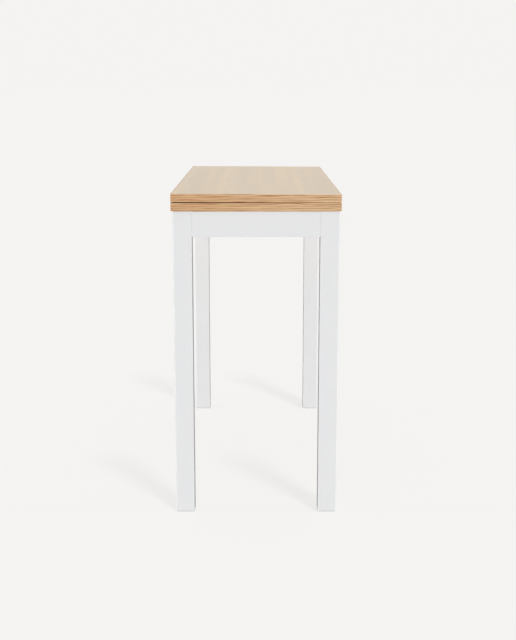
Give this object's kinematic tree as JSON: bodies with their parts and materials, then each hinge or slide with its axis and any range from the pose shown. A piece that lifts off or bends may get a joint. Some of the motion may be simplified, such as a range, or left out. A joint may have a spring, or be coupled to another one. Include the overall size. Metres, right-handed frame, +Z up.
{
  "type": "extending table",
  "caption": "Narrow fold-over extending table: a double wood-effect top slides across a white square-tube frame, then its upper leaf turns over to double the width.",
  "frame": {"origin": "on the floor under the middle of the closed table", "axes": "+Z up, +Y along the table away from the front short end, +X across it to the hinge side"},
  "size_m": [0.4001, 1, 0.7804],
  "materials": {
    "white_coat": "fine satin powder coat on steel",
    "white_plastic": "moulded polyethylene",
    "nylon": "natural nylon, slightly waxy",
    "soft_rubber": "soft grey buffer",
    "zinc_steel": "bright zinc plated",
    "hinge_steel": "plain steel",
    "hinge_casting": "nickel-plated zinc casting",
    "oak_edging": "printed oak-grain plastic edging",
    "oak_laminate": "oak-effect laminate on particle board"
  },
  "bodies": {
    "frame": {"corner_bracket_front_left": "white_coat", "corner_bracket_front_right": "white_coat", "corner_bracket_rear_left": "white_coat", "corner_bracket_rear_right": "white_coat", "end_apron_front": "white_coat", "end_apron_rear": "white_coat", "foot_glide_front_left": "white_plastic", "foot_glide_front_right": "white_plastic", "foot_glide_rear_left": "white_plastic", "foot_glide_rear_right": "white_plastic", "guide_channel_front": "white_coat", "guide_channel_rear": "white_coat", "leg_bolt_front_left": "zinc_steel", "leg_bolt_front_right": "zinc_steel", "leg_bolt_rear_left": "zinc_steel", "leg_bolt_rear_right": "zinc_steel", "leg_front_left": "white_coat", "leg_front_right": "white_coat", "leg_rear_left": "white_coat", "leg_rear_right": "white_coat", "side_apron_left": "white_coat", "side_apron_right": "white_coat", "wear_strip_front": "nylon", "wear_strip_rear": "nylon"},
    "lower_leaf": {"buffer_front": "soft_rubber", "buffer_rear": "soft_rubber", "lower_edging_free": "oak_edging", "lower_edging_front": "oak_edging", "lower_edging_hinge": "oak_edging", "lower_edging_rear": "oak_edging", "lower_hinge_cup_front": "hinge_casting", "lower_hinge_cup_middle": "hinge_casting", "lower_hinge_cup_rear": "hinge_casting", "lower_hinge_pin_front": "hinge_steel", "lower_hinge_pin_middle": "hinge_steel", "lower_hinge_pin_rear": "hinge_steel", "lower_leaf_board": "oak_laminate", "slider_front": "nylon", "slider_rear": "nylon", "slider_screw_front_left": "zinc_steel", "slider_screw_front_right": "zinc_steel", "slider_screw_rear_left": "zinc_steel", "slider_screw_rear_right": "zinc_steel"},
    "hinge_links": {"hinge_link_front": "hinge_steel", "hinge_link_middle": "hinge_steel", "hinge_link_rear": "hinge_steel"},
    "upper_leaf": {"upper_edging_free": "oak_edging", "upper_edging_front": "oak_edging", "upper_edging_hinge": "oak_edging", "upper_edging_rear": "oak_edging", "upper_hinge_cup_front": "hinge_casting", "upper_hinge_cup_middle": "hinge_casting", "upper_hinge_cup_rear": "hinge_casting", "upper_hinge_pin_front": "hinge_steel", "upper_hinge_pin_middle": "hinge_steel", "upper_hinge_pin_rear": "hinge_steel", "upper_leaf_board": "oak_laminate"}
  },
  "joints": [
    {"name": "top_slide", "type": "slide", "parent": "frame", "child": "lower_leaf", "axis": [-1, 0, 0], "range_m": [0, 0.20021]},
    {"name": "link_fold", "type": "hinge", "parent": "lower_leaf", "child": "hinge_links", "pos_m": [0.1979, 0, 0.757], "axis": [0, 1, 0], "range_deg": [0, 89.86]},
    {"name": "leaf_fold", "type": "hinge", "parent": "hinge_links", "child": "upper_leaf", "pos_m": [0.19791, 0, 0.76162], "axis": [0, 1, 0], "range_deg": [0, 89.86]}
  ],
  "couplings": [
    {"joint": "leaf_fold", "follows": "link_fold", "ratio": 1}
  ]
}
